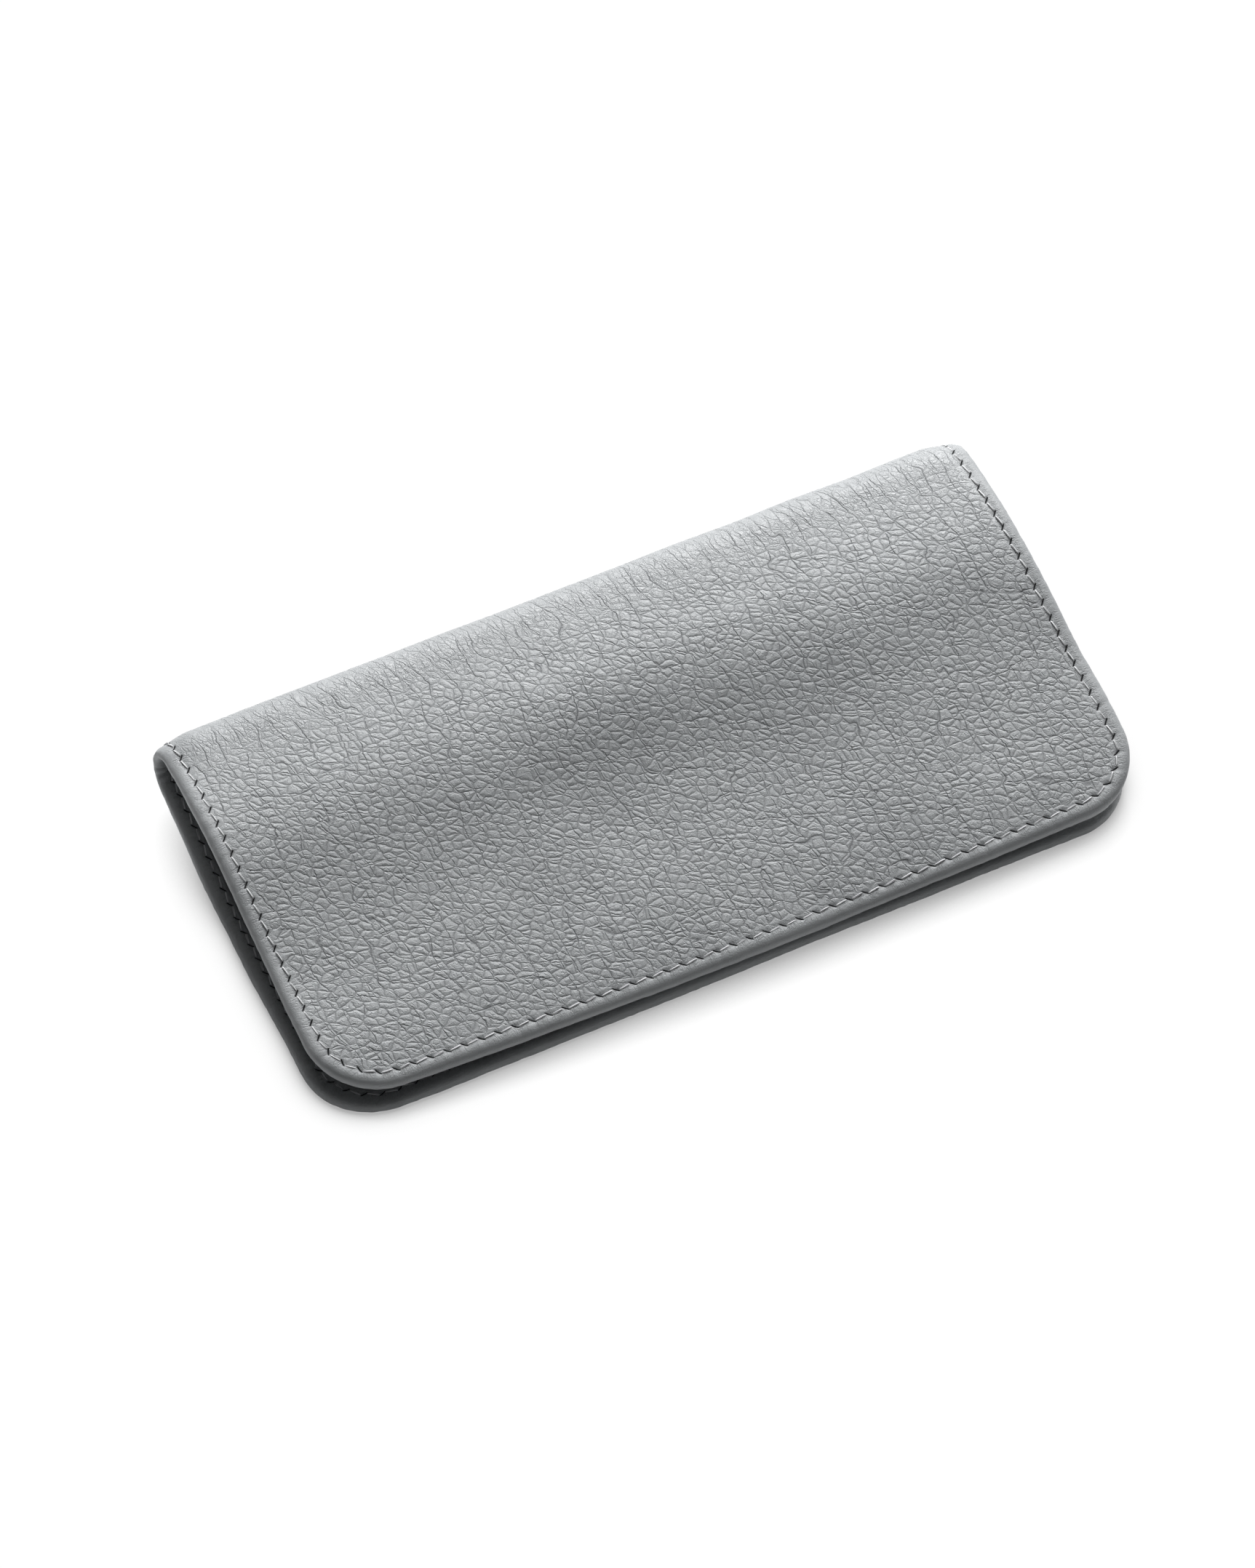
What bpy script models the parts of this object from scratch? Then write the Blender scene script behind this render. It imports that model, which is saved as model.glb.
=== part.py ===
"""Slim folded eyeglasses case in pebbled leather, closed over a thin pair of glasses.

One long strip is folded once over a straight back fold. The lower panel rests on the table,
the upper panel (the flap) lies over it and opens upwards and backwards. The strip is a tray
of leather with its edge turned up all round, a lining inset in that tray, a stiffener board
and closing magnets between them, and one line of thread in a shallow groove near the edge.

Every piece is first made flat, in strip coordinates: X across the case, Y along the strip
from the front edge of the lower panel to the front edge of the flap, Z inwards from the
leather's outer face. It is then bent along the case's end profile. World units are metres,
+Z up, +Y towards the fold. The origin is on the table, under the middle of the case.
"""

import math

import bmesh
import bpy

# ---- driving dimensions, metres and degrees ----
WIDTH = 0.125
FRONT_Y = -0.0311
CORNER_RADIUS = 0.0103
THICKNESS = 0.0023
RIM_ROUNDING = 0.0010
RIM_WIDTH = 0.0026
LEATHER = 0.0008
BOARD_LOW = 0.0009
BOARD_HIGH = 0.0013
LINING_LOW = 0.0015
LINING_HIGH = 0.0022
GAP = 0.0003

# End profile of the outer face: straight lengths and arcs, walked from the front of the
# lower panel, over the fold, to the front of the flap. Turn is anticlockwise.
REST_LENGTH = 0.0338
LIFT_LENGTH = 0.0080
LIFT_TURN = 14.0
SLOPE_LENGTH = 0.01748
FOLD_RADIUS = 0.0053
FOLD_TURN = 166.0
CROWN_LENGTH = 0.0100
DROP_LENGTH = 0.0120
DROP_TURN = 14.25
FRONT_LENGTH = 0.03721
FOLD_LENGTH = FOLD_RADIUS * math.radians(FOLD_TURN)
PROFILE = (
    (REST_LENGTH, 0.0),
    (LIFT_LENGTH, LIFT_TURN),
    (SLOPE_LENGTH, 0.0),
    (FOLD_LENGTH, FOLD_TURN),
    (CROWN_LENGTH, 0.0),
    (DROP_LENGTH, DROP_TURN),
    (FRONT_LENGTH, 0.0),
)
STRIP_LENGTH = sum(length for length, _ in PROFILE)
FOLD_START = REST_LENGTH + LIFT_LENGTH + SLOPE_LENGTH
CROWN_START = FOLD_START + FOLD_LENGTH
DROP_START = CROWN_START + CROWN_LENGTH

# The two lines the strip bends along, on the outer face at the quarters of the fold.
LOWER_HINGE = FOLD_START + 0.25 * FOLD_LENGTH
UPPER_HINGE = FOLD_START + 0.75 * FOLD_LENGTH
HINGE_GAP = 0.00015

# The flap's front corners stand up a little from the lower panel.
FLARE_HEIGHT = 0.0022
FLARE_FROM_X = 0.0118
FLARE_LENGTH = 0.0293
FLARE_POWER = 1.3

STITCH_INSET = 0.00185
THREAD_RADIUS = 0.00017
THREAD_DEPTH = 0.0002
GROOVE_RADIUS = 0.0005
THREAD_END_GAP = 0.0004

MAGNET_RADIUS = 0.0040
MAGNET_THICKNESS = 0.0004
MAGNET_X = 0.0120
MAGNET_FROM_EDGE = 0.0120

CORNER_STEPS = 8
FOLD_STEPS = 18
MARGIN = 0.02


def clear_scene():
    for thing in list(bpy.data.objects):
        bpy.data.objects.remove(thing, do_unlink=True)


def new_collection(name):
    collection = bpy.data.collections.new(name)
    bpy.context.scene.collection.children.link(collection)
    return collection


def material(name, colour, roughness, metallic=0.0):
    made = bpy.data.materials.new(name)
    made.use_nodes = True
    shader = made.node_tree.nodes["Principled BSDF"]
    shader.inputs["Base Color"].default_value = (*colour, 1.0)
    shader.inputs["Roughness"].default_value = roughness
    shader.inputs["Metallic"].default_value = metallic
    return made


def profile_point(along):
    """Height and depth of the outer face, and its heading, at a distance along the strip."""
    y, z, heading, left = FRONT_Y, 0.0, 0.0, along
    for index, (length, turn) in enumerate(PROFILE):
        last = index == len(PROFILE) - 1
        step = left if last else min(left, length)
        bend = math.radians(turn)
        if turn:
            radius = length / bend
            after = heading + bend * step / length
            y += radius * (math.sin(after) - math.sin(heading))
            z += radius * (math.cos(heading) - math.cos(after))
            heading = after
        else:
            y += step * math.cos(heading)
            z += step * math.sin(heading)
        left -= step
        if left <= 0.0:
            break
    return y, z, heading


def flare(x, along):
    """How far the flap's front corners stand above its plain front slope."""
    out = (abs(x) - FLARE_FROM_X) / (0.5 * WIDTH - FLARE_FROM_X)
    forward = 1.0 - (STRIP_LENGTH - along) / FLARE_LENGTH
    if out <= 0.0 or forward <= 0.0:
        return 0.0
    forward = min(forward, 1.0)
    ease = forward * forward * (3.0 - 2.0 * forward)
    return FLARE_HEIGHT * min(out, 1.0) ** FLARE_POWER * ease


def bent(x, along, depth):
    y, z, heading = profile_point(along)
    inward = depth
    return (
        x,
        y - inward * math.sin(heading),
        z + inward * math.cos(heading) + flare(x, along),
    )


def stations():
    """Distances along the strip where every piece gets an edge, so that all bend alike."""
    cuts = [REST_LENGTH + LIFT_LENGTH * i / 4 for i in range(5)]
    cuts += [FOLD_START + FOLD_LENGTH * i / FOLD_STEPS for i in range(FOLD_STEPS + 1)]
    cuts += [DROP_START + DROP_LENGTH * i / 4 for i in range(5)]
    cuts += [STRIP_LENGTH - FLARE_LENGTH * i / 5 for i in range(1, 6)]
    return cuts


def flare_stations():
    span = 0.5 * WIDTH - FLARE_FROM_X
    return [side * (FLARE_FROM_X + span * i / 6) for side in (-1, 1) for i in range(6)]


def rounded_outline(inset):
    """The strip's outline, moved inwards all round, as points from its near left side."""
    half = 0.5 * WIDTH - inset
    radius = max(CORNER_RADIUS - inset, 0.002)
    near, far = inset + radius, STRIP_LENGTH - inset - radius
    points = []
    corners = ((1, near, -90.0), (1, far, 0.0), (-1, far, 90.0), (-1, near, 180.0))
    for side, centre, start in corners:
        for step in range(CORNER_STEPS + 1):
            angle = math.radians(start + 90.0 * step / CORNER_STEPS)
            x = side * (half - radius) + radius * math.cos(angle)
            points.append((x, centre + radius * math.sin(angle)))
    return points


def curve_object(name, points, cyclic, collection, flat):
    data = bpy.data.curves.new(name, "CURVE")
    data.dimensions = "2D" if flat else "3D"
    data.fill_mode = "BOTH" if flat else "FULL"
    spline = data.splines.new("POLY")
    spline.points.add(len(points) - 1)
    for target, point in zip(spline.points, points):
        target.co = (point[0], point[1], point[2] if len(point) > 2 else 0.0, 1.0)
    spline.use_cyclic_u = cyclic
    thing = bpy.data.objects.new(name, data)
    collection.objects.link(thing)
    return thing


def as_mesh(thing, collection):
    """The same shape as a plain mesh object with its caps welded."""
    bpy.context.view_layer.update()
    graph = bpy.context.evaluated_depsgraph_get()
    mesh = bpy.data.meshes.new_from_object(thing.evaluated_get(graph), depsgraph=graph)
    name = thing.name
    matrix = thing.matrix_world.copy()
    bpy.data.objects.remove(thing, do_unlink=True)
    made = bpy.data.objects.new(name, mesh)
    made.matrix_world = matrix
    collection.objects.link(made)
    work = bmesh.new()
    work.from_mesh(mesh)
    work.transform(matrix)
    bmesh.ops.remove_doubles(work, verts=work.verts, dist=1e-6)
    bmesh.ops.recalc_face_normals(work, faces=work.faces)
    work.to_mesh(mesh)
    work.free()
    made.matrix_world.identity()
    return made


def plate(name, inset, low, high, rounding, collection):
    """A flat plate in the strip's outline between two depths, with a rounded edge."""
    outline = rounded_outline(inset + rounding)
    thing = curve_object(name, outline, True, collection, flat=True)
    thing.data.extrude = 0.5 * (high - low) - rounding
    thing.data.bevel_depth = rounding
    thing.data.bevel_resolution = 2
    thing.location.z = 0.5 * (low + high)
    return as_mesh(thing, collection)


def box(name, low, high, collection):
    bpy.ops.mesh.primitive_cube_add(size=1.0)
    thing = bpy.context.object
    thing.name = name
    move_to(thing, collection)
    for vertex in thing.data.vertices:
        for axis in range(3):
            middle = 0.5 * (low[axis] + high[axis])
            vertex.co[axis] = middle + vertex.co[axis] * (high[axis] - low[axis])
    return thing


def disc(name, radius, thickness, centre, collection):
    bpy.ops.mesh.primitive_cylinder_add(
        vertices=32, radius=radius, depth=thickness, location=centre
    )
    thing = bpy.context.object
    thing.name = name
    move_to(thing, collection)
    return as_mesh(thing, collection)


def move_to(thing, collection):
    for other in list(thing.users_collection):
        other.objects.unlink(thing)
    collection.objects.link(thing)


def as_cutter(thing):
    thing.hide_render = True
    thing.display_type = "WIRE"
    return thing


def boolean(thing, cutter, operation):
    modifier = thing.modifiers.new(operation.title(), "BOOLEAN")
    modifier.operation = operation
    modifier.solver = "EXACT"
    modifier.object = cutter


def tube(name, points, cyclic, radius, collection):
    thing = curve_object(name, points, cyclic, collection, flat=False)
    thing.data.bevel_depth = radius
    thing.data.bevel_resolution = 2
    thing.data.use_fill_caps = not cyclic
    return as_mesh(thing, collection)


def stitch_path(low, high, depth):
    """The stitch line between two distances along the strip, round the corners it passes."""
    line = rounded_outline(STITCH_INSET)
    half = 0.5 * WIDTH - STITCH_INSET
    if low is None:
        round_end = [p for p in line if p[1] < 0.5 * STRIP_LENGTH]
        left = [p for p in round_end if p[0] < 0.0]
        right = [p for p in round_end if p[0] > 0.0]
        path = [(-half, high)] + left + right + [(half, high)]
    else:
        round_end = [p for p in line if p[1] > 0.5 * STRIP_LENGTH]
        path = [(half, low)] + round_end + [(-half, low)]
    return [(x, along, depth) for x, along in path]


def flat_copy(source, name, collection):
    thing = bpy.data.objects.new(name, source.data.copy())
    for modifier in source.modifiers:
        copy = thing.modifiers.new(modifier.name, modifier.type)
        copy.operation = modifier.operation
        copy.solver = modifier.solver
        copy.object = modifier.object
    collection.objects.link(thing)
    return thing


def finish(thing, look, hinge, collection, crosswise=False):
    """Cut a flat piece at the stations, bend it, and hang it on its hinge line."""
    name = thing.name
    thing.name = name + ".flat"
    bpy.context.view_layer.update()
    graph = bpy.context.evaluated_depsgraph_get()
    mesh = bpy.data.meshes.new_from_object(thing.evaluated_get(graph), depsgraph=graph)
    bpy.data.objects.remove(thing, do_unlink=True)
    work = bmesh.new()
    work.from_mesh(mesh)
    bmesh.ops.remove_doubles(work, verts=work.verts, dist=1e-6)
    bmesh.ops.dissolve_limit(
        work, angle_limit=math.radians(0.2), verts=work.verts, edges=work.edges
    )
    for along in stations():
        cut(work, (0.0, along, 0.0), (0.0, 1.0, 0.0))
    if crosswise:
        for x in flare_stations():
            cut(work, (x, 0.0, 0.0), (1.0, 0.0, 0.0))
    pivot = hinge.matrix_world.translation if hinge else (0.0, 0.0, 0.0)
    for vertex in work.verts:
        placed = bent(*vertex.co)
        vertex.co = [placed[axis] - pivot[axis] for axis in range(3)]
    bmesh.ops.triangulate(work, faces=work.faces)
    bmesh.ops.dissolve_degenerate(work, dist=1e-7, edges=work.edges)
    bmesh.ops.recalc_face_normals(work, faces=work.faces)
    work.to_mesh(mesh)
    work.free()
    mesh.name = name
    made = bpy.data.objects.new(name, mesh)
    collection.objects.link(made)
    made.parent = hinge
    mesh.materials.clear()
    mesh.materials.append(look)
    mesh.shade_smooth()
    mesh.set_sharp_from_angle(angle=math.radians(35.0))
    return made


def cut(work, point, normal):
    geometry = list(work.verts) + list(work.edges) + list(work.faces)
    bmesh.ops.bisect_plane(
        work, geom=geometry, dist=1e-7, plane_co=point, plane_no=normal
    )


def hinge_empty(name, along, parent, collection):
    y, z, _ = profile_point(along)
    empty = bpy.data.objects.new(name, None)
    empty.empty_display_size = 0.01
    collection.objects.link(empty)
    empty.parent = parent
    base = parent.matrix_world.translation if parent else (0.0, 0.0, 0.0)
    empty.location = (0.0, y - base[1], z - base[2])
    bpy.context.view_layer.update()
    return empty


def region_boxes(cutters):
    """One box for each rigid stretch of the strip: lower panel, fold and flap."""
    side = 0.5 * WIDTH + MARGIN
    spans = {
        "rear": (-MARGIN, LOWER_HINGE - HINGE_GAP),
        "spine": (LOWER_HINGE + HINGE_GAP, UPPER_HINGE - HINGE_GAP),
        "flap": (UPPER_HINGE + HINGE_GAP, STRIP_LENGTH + MARGIN),
    }
    boxes = {}
    for part, (low, high) in spans.items():
        made = box(part + "_region", (-side, low, -MARGIN), (side, high, MARGIN), cutters)
        boxes[part] = as_cutter(made)
    return boxes


def leather_tray(parts, cutters):
    """The outer leather as one flat strip: a plate with a turned-up rim and a thread groove."""
    strip = plate("leather_strip", 0.0, 0.0, THICKNESS, RIM_ROUNDING, parts)
    recess = plate("recess", RIM_WIDTH, LEATHER, THICKNESS + MARGIN, 0.0, cutters)
    line = [(x, along, 0.0) for x, along in rounded_outline(STITCH_INSET)]
    groove = tube("stitch_groove", line, True, GROOVE_RADIUS, cutters)
    boolean(strip, as_cutter(recess), "DIFFERENCE")
    boolean(strip, as_cutter(groove), "DIFFERENCE")
    return strip


def lining_strip(parts):
    inset = RIM_WIDTH + GAP
    return plate("lining_strip", inset, LINING_LOW, LINING_HIGH, 0.0002, parts)


def board(name, low, high, magnet_along, parts, cutters):
    """A stiffener board for one panel, with a round hole for each magnet."""
    made = plate(name, RIM_WIDTH + 2 * GAP, BOARD_LOW, BOARD_HIGH, 0.0, parts)
    side = 0.5 * WIDTH + MARGIN
    span = box(name + "_span", (-side, low, -MARGIN), (side, high, MARGIN), cutters)
    boolean(made, as_cutter(span), "INTERSECT")
    for sign in (-1, 1):
        centre = (sign * MAGNET_X, magnet_along, BOARD_LOW)
        hole = disc(name + "_hole", MAGNET_RADIUS + GAP, MARGIN, centre, cutters)
        boolean(made, as_cutter(hole), "DIFFERENCE")
    return made


def build():
    clear_scene()
    parts = new_collection("eyeglasses_case")
    cutters = new_collection("cutters")
    grey_leather = material("pebbled_leather", (0.34, 0.35, 0.36), 0.55)
    grey_lining = material("smooth_lining", (0.22, 0.22, 0.23), 0.6)
    thread = material("waxed_thread", (0.28, 0.28, 0.29), 0.7)
    fibre = material("fibre_board", (0.30, 0.24, 0.17), 0.9)
    cloth = material("woven_tape", (0.55, 0.54, 0.50), 0.95)
    steel = material("nickelled_magnet", (0.62, 0.61, 0.58), 0.25, 1.0)

    lower = hinge_empty("fold_hinge_lower", LOWER_HINGE, None, parts)
    upper = hinge_empty("fold_hinge_upper", UPPER_HINGE, lower, parts)
    hinges = {"rear": None, "spine": lower, "flap": upper}
    regions = region_boxes(cutters)

    strips = {
        "outer_leather": (leather_tray(parts, cutters), grey_leather),
        "lining": (lining_strip(parts), grey_lining),
    }
    for layer, (strip, look) in strips.items():
        for part, region in regions.items():
            piece = flat_copy(strip, part + "_" + layer, parts)
            boolean(piece, region, "INTERSECT")
            finish(piece, look, hinges[part], parts, crosswise=part == "flap")
        bpy.data.objects.remove(strip, do_unlink=True)

    board_spans = {
        "rear": (0.0, FOLD_START - 0.002, MAGNET_FROM_EDGE),
        "flap": (CROWN_START + 0.002, STRIP_LENGTH, STRIP_LENGTH - MAGNET_FROM_EDGE),
    }
    for part, (low, high, magnet_along) in board_spans.items():
        made = board(part + "_stiffener", low, high, magnet_along, parts, cutters)
        finish(made, fibre, hinges[part], parts, crosswise=part == "flap")
        for side, sign in (("left", -1), ("right", 1)):
            centre = (sign * MAGNET_X, magnet_along, 0.5 * (BOARD_LOW + BOARD_HIGH))
            name = part + "_magnet_" + side
            made = disc(name, MAGNET_RADIUS, MAGNET_THICKNESS, centre, parts)
            finish(made, steel, hinges[part], parts)

    side = 0.5 * WIDTH - RIM_WIDTH - 2 * GAP
    start, end = LOWER_HINGE + GAP, UPPER_HINGE - GAP
    tape = box("spine_tape", (-side, start, BOARD_LOW), (side, end, BOARD_HIGH), parts)
    finish(tape, cloth, lower, parts)

    path = stitch_path(None, LOWER_HINGE - THREAD_END_GAP, THREAD_DEPTH)
    made = tube("rear_stitching", path, False, THREAD_RADIUS, parts)
    finish(made, thread, None, parts)
    for side_name, sign in (("left", -1), ("right", 1)):
        x = sign * (0.5 * WIDTH - STITCH_INSET)
        start, end = LOWER_HINGE + THREAD_END_GAP, UPPER_HINGE - THREAD_END_GAP
        path = [(x, start, THREAD_DEPTH), (x, end, THREAD_DEPTH)]
        made = tube("spine_stitching_" + side_name, path, False, THREAD_RADIUS, parts)
        finish(made, thread, lower, parts)
    path = stitch_path(UPPER_HINGE + THREAD_END_GAP, None, THREAD_DEPTH)
    made = tube("flap_stitching", path, False, THREAD_RADIUS, parts)
    finish(made, thread, upper, parts, crosswise=True)


build()
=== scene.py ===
"""Looks of a slim grey leather eyeglasses case: pebbled leather, rolled rim, stitching, lining."""

import math

import bmesh
import bpy
import numpy as np
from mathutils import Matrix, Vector


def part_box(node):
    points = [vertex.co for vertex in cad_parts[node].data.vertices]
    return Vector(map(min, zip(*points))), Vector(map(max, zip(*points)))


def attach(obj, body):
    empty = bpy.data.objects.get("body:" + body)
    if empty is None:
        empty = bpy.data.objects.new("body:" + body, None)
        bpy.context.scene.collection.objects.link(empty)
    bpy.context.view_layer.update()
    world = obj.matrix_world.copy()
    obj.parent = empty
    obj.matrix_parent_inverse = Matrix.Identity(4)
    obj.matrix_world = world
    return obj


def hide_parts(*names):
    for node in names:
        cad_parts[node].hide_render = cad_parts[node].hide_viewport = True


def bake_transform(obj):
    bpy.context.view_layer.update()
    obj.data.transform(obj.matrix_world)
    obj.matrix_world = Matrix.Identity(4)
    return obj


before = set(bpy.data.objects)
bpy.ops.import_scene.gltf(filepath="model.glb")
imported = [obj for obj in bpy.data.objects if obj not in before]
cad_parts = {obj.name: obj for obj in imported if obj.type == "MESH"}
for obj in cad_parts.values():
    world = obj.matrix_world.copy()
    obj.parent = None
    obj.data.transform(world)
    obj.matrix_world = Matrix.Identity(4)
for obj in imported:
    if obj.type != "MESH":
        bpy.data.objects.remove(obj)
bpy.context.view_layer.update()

MM = 0.001

# ---- the strip the case is folded from, in millimetres ----
LOW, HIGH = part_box("rear_outer_leather")
WIDTH = round((HIGH.x - LOW.x) / MM, 2)
FRONT = LOW.y / MM
REACH = 10.3  # corner radius, and so the depth of the rings around the field
THICK = 2.3
LINING_SUNK = 0.1
DROP_TURN = 14.25
# length and turn in degrees of each section: lower panel, its rise to the fold, the fold, flap
SECTIONS = (
    (33.8, 0.0),
    (8.0, 14.0),
    (17.48, 0.0),
    (5.3 * math.radians(166.0), 166.0),
    (10.0, 0.0),
    (12.0, DROP_TURN),
    (37.21, 0.0),
)
LENGTHS = [length for length, _ in SECTIONS]
STRIP = sum(LENGTHS)
FOLD_START = sum(LENGTHS[:3])
FOLD_END = sum(LENGTHS[:4])
FOLD_MIDDLE = 0.5 * (FOLD_START + FOLD_END)
STITCH_INSET = 2.05
STITCHES = 192
SLIT_ANGLE = 39.0  # needle slits, in degrees from the seam
THREAD_RADIUS = 0.145
THREAD_SLANT = 0.17
GRAIN_DEPTH = 0.115
FLARE_FROM = 11.8
LIFT_LEFT, LIFT_RIGHT = 2.5, 1.95  # of the flap's front corners
DIP, DIP_HALF_WIDTH = 1.5, 34.0
FLAP_SHIFT, FLAP_SKEW = 0.55, 0.0066
DRAWN_IN = 0.0040  # share of its width the strip loses at the fold
FOLD_THINNED, FOLD_END_CURL = 0.26, 0.85
rng = np.random.default_rng(20)


# ---------------------------------------------------------------- end profile
def smoothstep(low, high, value):
    t = np.clip((value - low) / (high - low), 0.0, 1.0)
    return t * t * (3.0 - 2.0 * t)


def profile_table(step=0.02, soften=1.1):
    """Path of the outer face: distance along the strip, y, z and heading."""
    along = np.arange(-6.0, STRIP + 6.0, step)
    knots = np.cumsum([0.0] + LENGTHS)
    turned = np.cumsum([0.0] + [math.radians(turn) for _, turn in SECTIONS])
    heading = np.interp(along, knots, turned)
    reach = np.arange(-4.0 * soften, 4.0 * soften, step)
    kernel = np.exp(-0.5 * (reach / soften) ** 2)
    kernel /= kernel.sum()
    padded = np.pad(heading, len(kernel), mode="edge")
    heading = np.convolve(padded, kernel, mode="same")[len(kernel) : -len(kernel)]
    y = np.cumsum(np.cos(heading)) * step
    z = np.cumsum(np.sin(heading)) * step
    y += FRONT - np.interp(0.0, along, y)
    z -= np.interp(0.0, along, z)
    return along, y, z, heading


TABLE = profile_table()


def dip(x, along):
    """How far the middle of the flap sinks behind the frame it lies over."""
    back = STRIP - along
    over = np.exp(-((x / DIP_HALF_WIDTH) ** 2))
    return -DIP * over * smoothstep(3.0, 29.0, back) * (1.0 - smoothstep(29.0, 49.0, back))


def moved_with_flap(x, y, z, along):
    """The strip is drawn in a little at the fold, and the flap lies slightly skewed."""
    on_flap = smoothstep(FOLD_START, FOLD_END + 6.0, along)
    swing = smoothstep(FOLD_END, STRIP, along)
    drawn_in = DRAWN_IN * (1.0 - smoothstep(4.0, 50.0, np.abs(along - FOLD_MIDDLE)))
    aside = (FLAP_SHIFT + FLAP_SKEW * y) * on_flap
    return x * (1.0 - drawn_in) + aside, y - FLAP_SKEW * x * swing, z


def lift(x, along):
    """How far the flap stands above or below its plain section, over the glasses it holds."""
    out = np.clip((np.abs(x) - FLARE_FROM) / (0.5 * WIDTH - FLARE_FROM), 0.0, 1.3)
    height = np.where(x < 0.0, LIFT_LEFT, LIFT_RIGHT)
    forward = 1.0 - smoothstep(0.0, 29.3, STRIP - along)
    return height * out**1.3 * forward + dip(x, along)


def drawn_together(x, along, depth):
    """Depth where the leather has no board in it: thinner, with its ends curled inwards."""
    bare = smoothstep(FOLD_START - 5.0, FOLD_START + 4.0, along)
    bare *= 1.0 - smoothstep(FOLD_END - 2.0, FOLD_END + 9.0, along)
    curl = FOLD_END_CURL * smoothstep(57.0, 62.5, np.abs(x))
    return depth * (1.0 - FOLD_THINNED * bare) + curl * bare


def place(x, along, depth):
    """Case coordinates in millimetres of points on the strip; depth is inwards."""
    table, y0, z0, heading0 = TABLE
    depth = drawn_together(x, along, depth)
    heading = np.interp(along, table, heading0)
    y = np.interp(along, table, y0) - depth * np.sin(heading)
    z = np.interp(along, table, z0) + depth * np.cos(heading) + lift(x, along)
    return np.stack(moved_with_flap(x, y, z, along), -1)


# ---------------------------------------------------------------- strip meshes
def spaced(low, high, step):
    count = max(1, int(round((high - low) / step)))
    return np.linspace(low, high, count + 1)


def strip_mesh(step, section):
    """The whole strip as one mesh: a square field, and rings around it out to the rim.
    section is the rings from the field outwards, as rows of inset, depth and distance past
    the field's edge. Returns the flat points with their fields, and the faces."""
    half = 0.5 * WIDTH - REACH
    xs = spaced(-half, half, step)
    rows = np.concatenate(
        [spaced(REACH, FOLD_MIDDLE, step), spaced(FOLD_MIDDLE, STRIP - REACH, step)[1:]]
    )
    nx, ns = len(xs), len(rows)
    field_x, field_s = np.meshgrid(xs, rows)
    index = np.arange(nx * ns).reshape(ns, nx)
    quads = np.stack(
        [index[:-1, :-1], index[:-1, 1:], index[1:, 1:], index[1:, :-1]], -1
    ).reshape(-1, 4)
    arc = max(6, int(round(0.5 * math.pi * REACH / step)))
    turn = np.linspace(0.0, 0.5 * math.pi, arc + 1)[1:-1]
    sides = [
        (index[:, -1], 0.0),
        (index[-1, ::-1], 0.5 * math.pi),
        (index[::-1, 0], math.pi),
        (index[0, :], 1.5 * math.pi),
    ]
    base, angle = [], []
    for ids, facing in sides:
        base += [ids, np.full(len(turn), ids[-1])]
        angle += [np.full(len(ids), facing), facing + turn]
    base, angle = np.concatenate(base), np.concatenate(angle)
    count = len(base)
    normal = np.stack([np.cos(angle), np.sin(angle)], -1)
    origin = np.stack([field_x.ravel()[base], field_s.ravel()[base]], -1)
    step_p = np.linalg.norm(np.diff(origin, axis=0, append=origin[:1]), axis=1)
    step_a = (np.diff(angle, append=angle[0] + 2 * math.pi)) % (2 * math.pi)
    along_seam = np.concatenate(
        [[0.0], np.cumsum(step_p + step_a * (REACH - STITCH_INSET))]
    )
    seam_length = along_seam[-1]
    along_seam = along_seam[:-1]
    flat = [np.stack([field_x.ravel(), field_s.ravel(), np.full(nx * ns, section[0][1])], -1)]
    unrolled = [flat[0][:, :2].copy()]
    inset = [np.full(nx * ns, 99.0)]
    edge = [np.full(nx * ns, 99.0)]
    seam = [np.zeros(nx * ns)]
    previous = base
    faces = [quads]
    for ring, (d, h, past) in enumerate(section):
        ids = nx * ns + ring * count + np.arange(count)
        spot = origin + normal * (REACH - d)
        flat.append(np.column_stack([spot, np.full(count, h)]))
        unrolled.append(origin + normal * past)
        inset.append(np.full(count, d if past < REACH else REACH - past))
        edge.append(np.full(count, d))
        seam.append(along_seam)
        nxt = np.roll(np.arange(count), -1)
        faces.append(np.stack([previous, ids, ids[nxt], previous[nxt]], -1))
        previous = ids
    data = {
        "flat": np.concatenate(flat),
        "unrolled": np.concatenate(unrolled),
        "inset": np.concatenate(inset),
        "edge": np.concatenate(edge),
        "seam": np.concatenate(seam),
        "seam_length": seam_length,
    }
    return data, np.concatenate(faces)


def outer_section(step):
    """The leather from the field, round the rolled rim, to where it goes under the lining."""
    ds = np.concatenate([spaced(1.5, 3.4, 0.19), spaced(3.4, REACH, step)[1:]])[::-1][1:]
    rows = [(d, 0.0, REACH - d) for d in ds]
    past = rows[-1][2]
    last = (rows[-1][0], 0.0)
    upper = [(1.25, 0.02), (1.0, 0.055), (0.75, 0.11), (0.52, 0.19), (0.33, 0.30)]
    upper += [(0.18, 0.45), (0.08, 0.63), (0.02, 0.86), (0.0, 0.5 * THICK)]
    lower = [(d, THICK - h) for d, h in upper[-2::-1]]
    for d, h in upper + lower:
        past += math.hypot(d - last[0], h - last[1])
        last = (d, h)
        rows.append((d, h, past))
    turned = (1.5, 0.0), (1.66, 0.0), (1.8, 0.0), (1.96, 0.0), (2.18, 0.0), (2.42, 0.02)
    for d, h in (*turned, (2.7, 0.16), (2.85, 0.4), (2.88, 0.7)):
        past += 0.23
        rows.append((d, THICK - h, past))
    return rows


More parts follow.
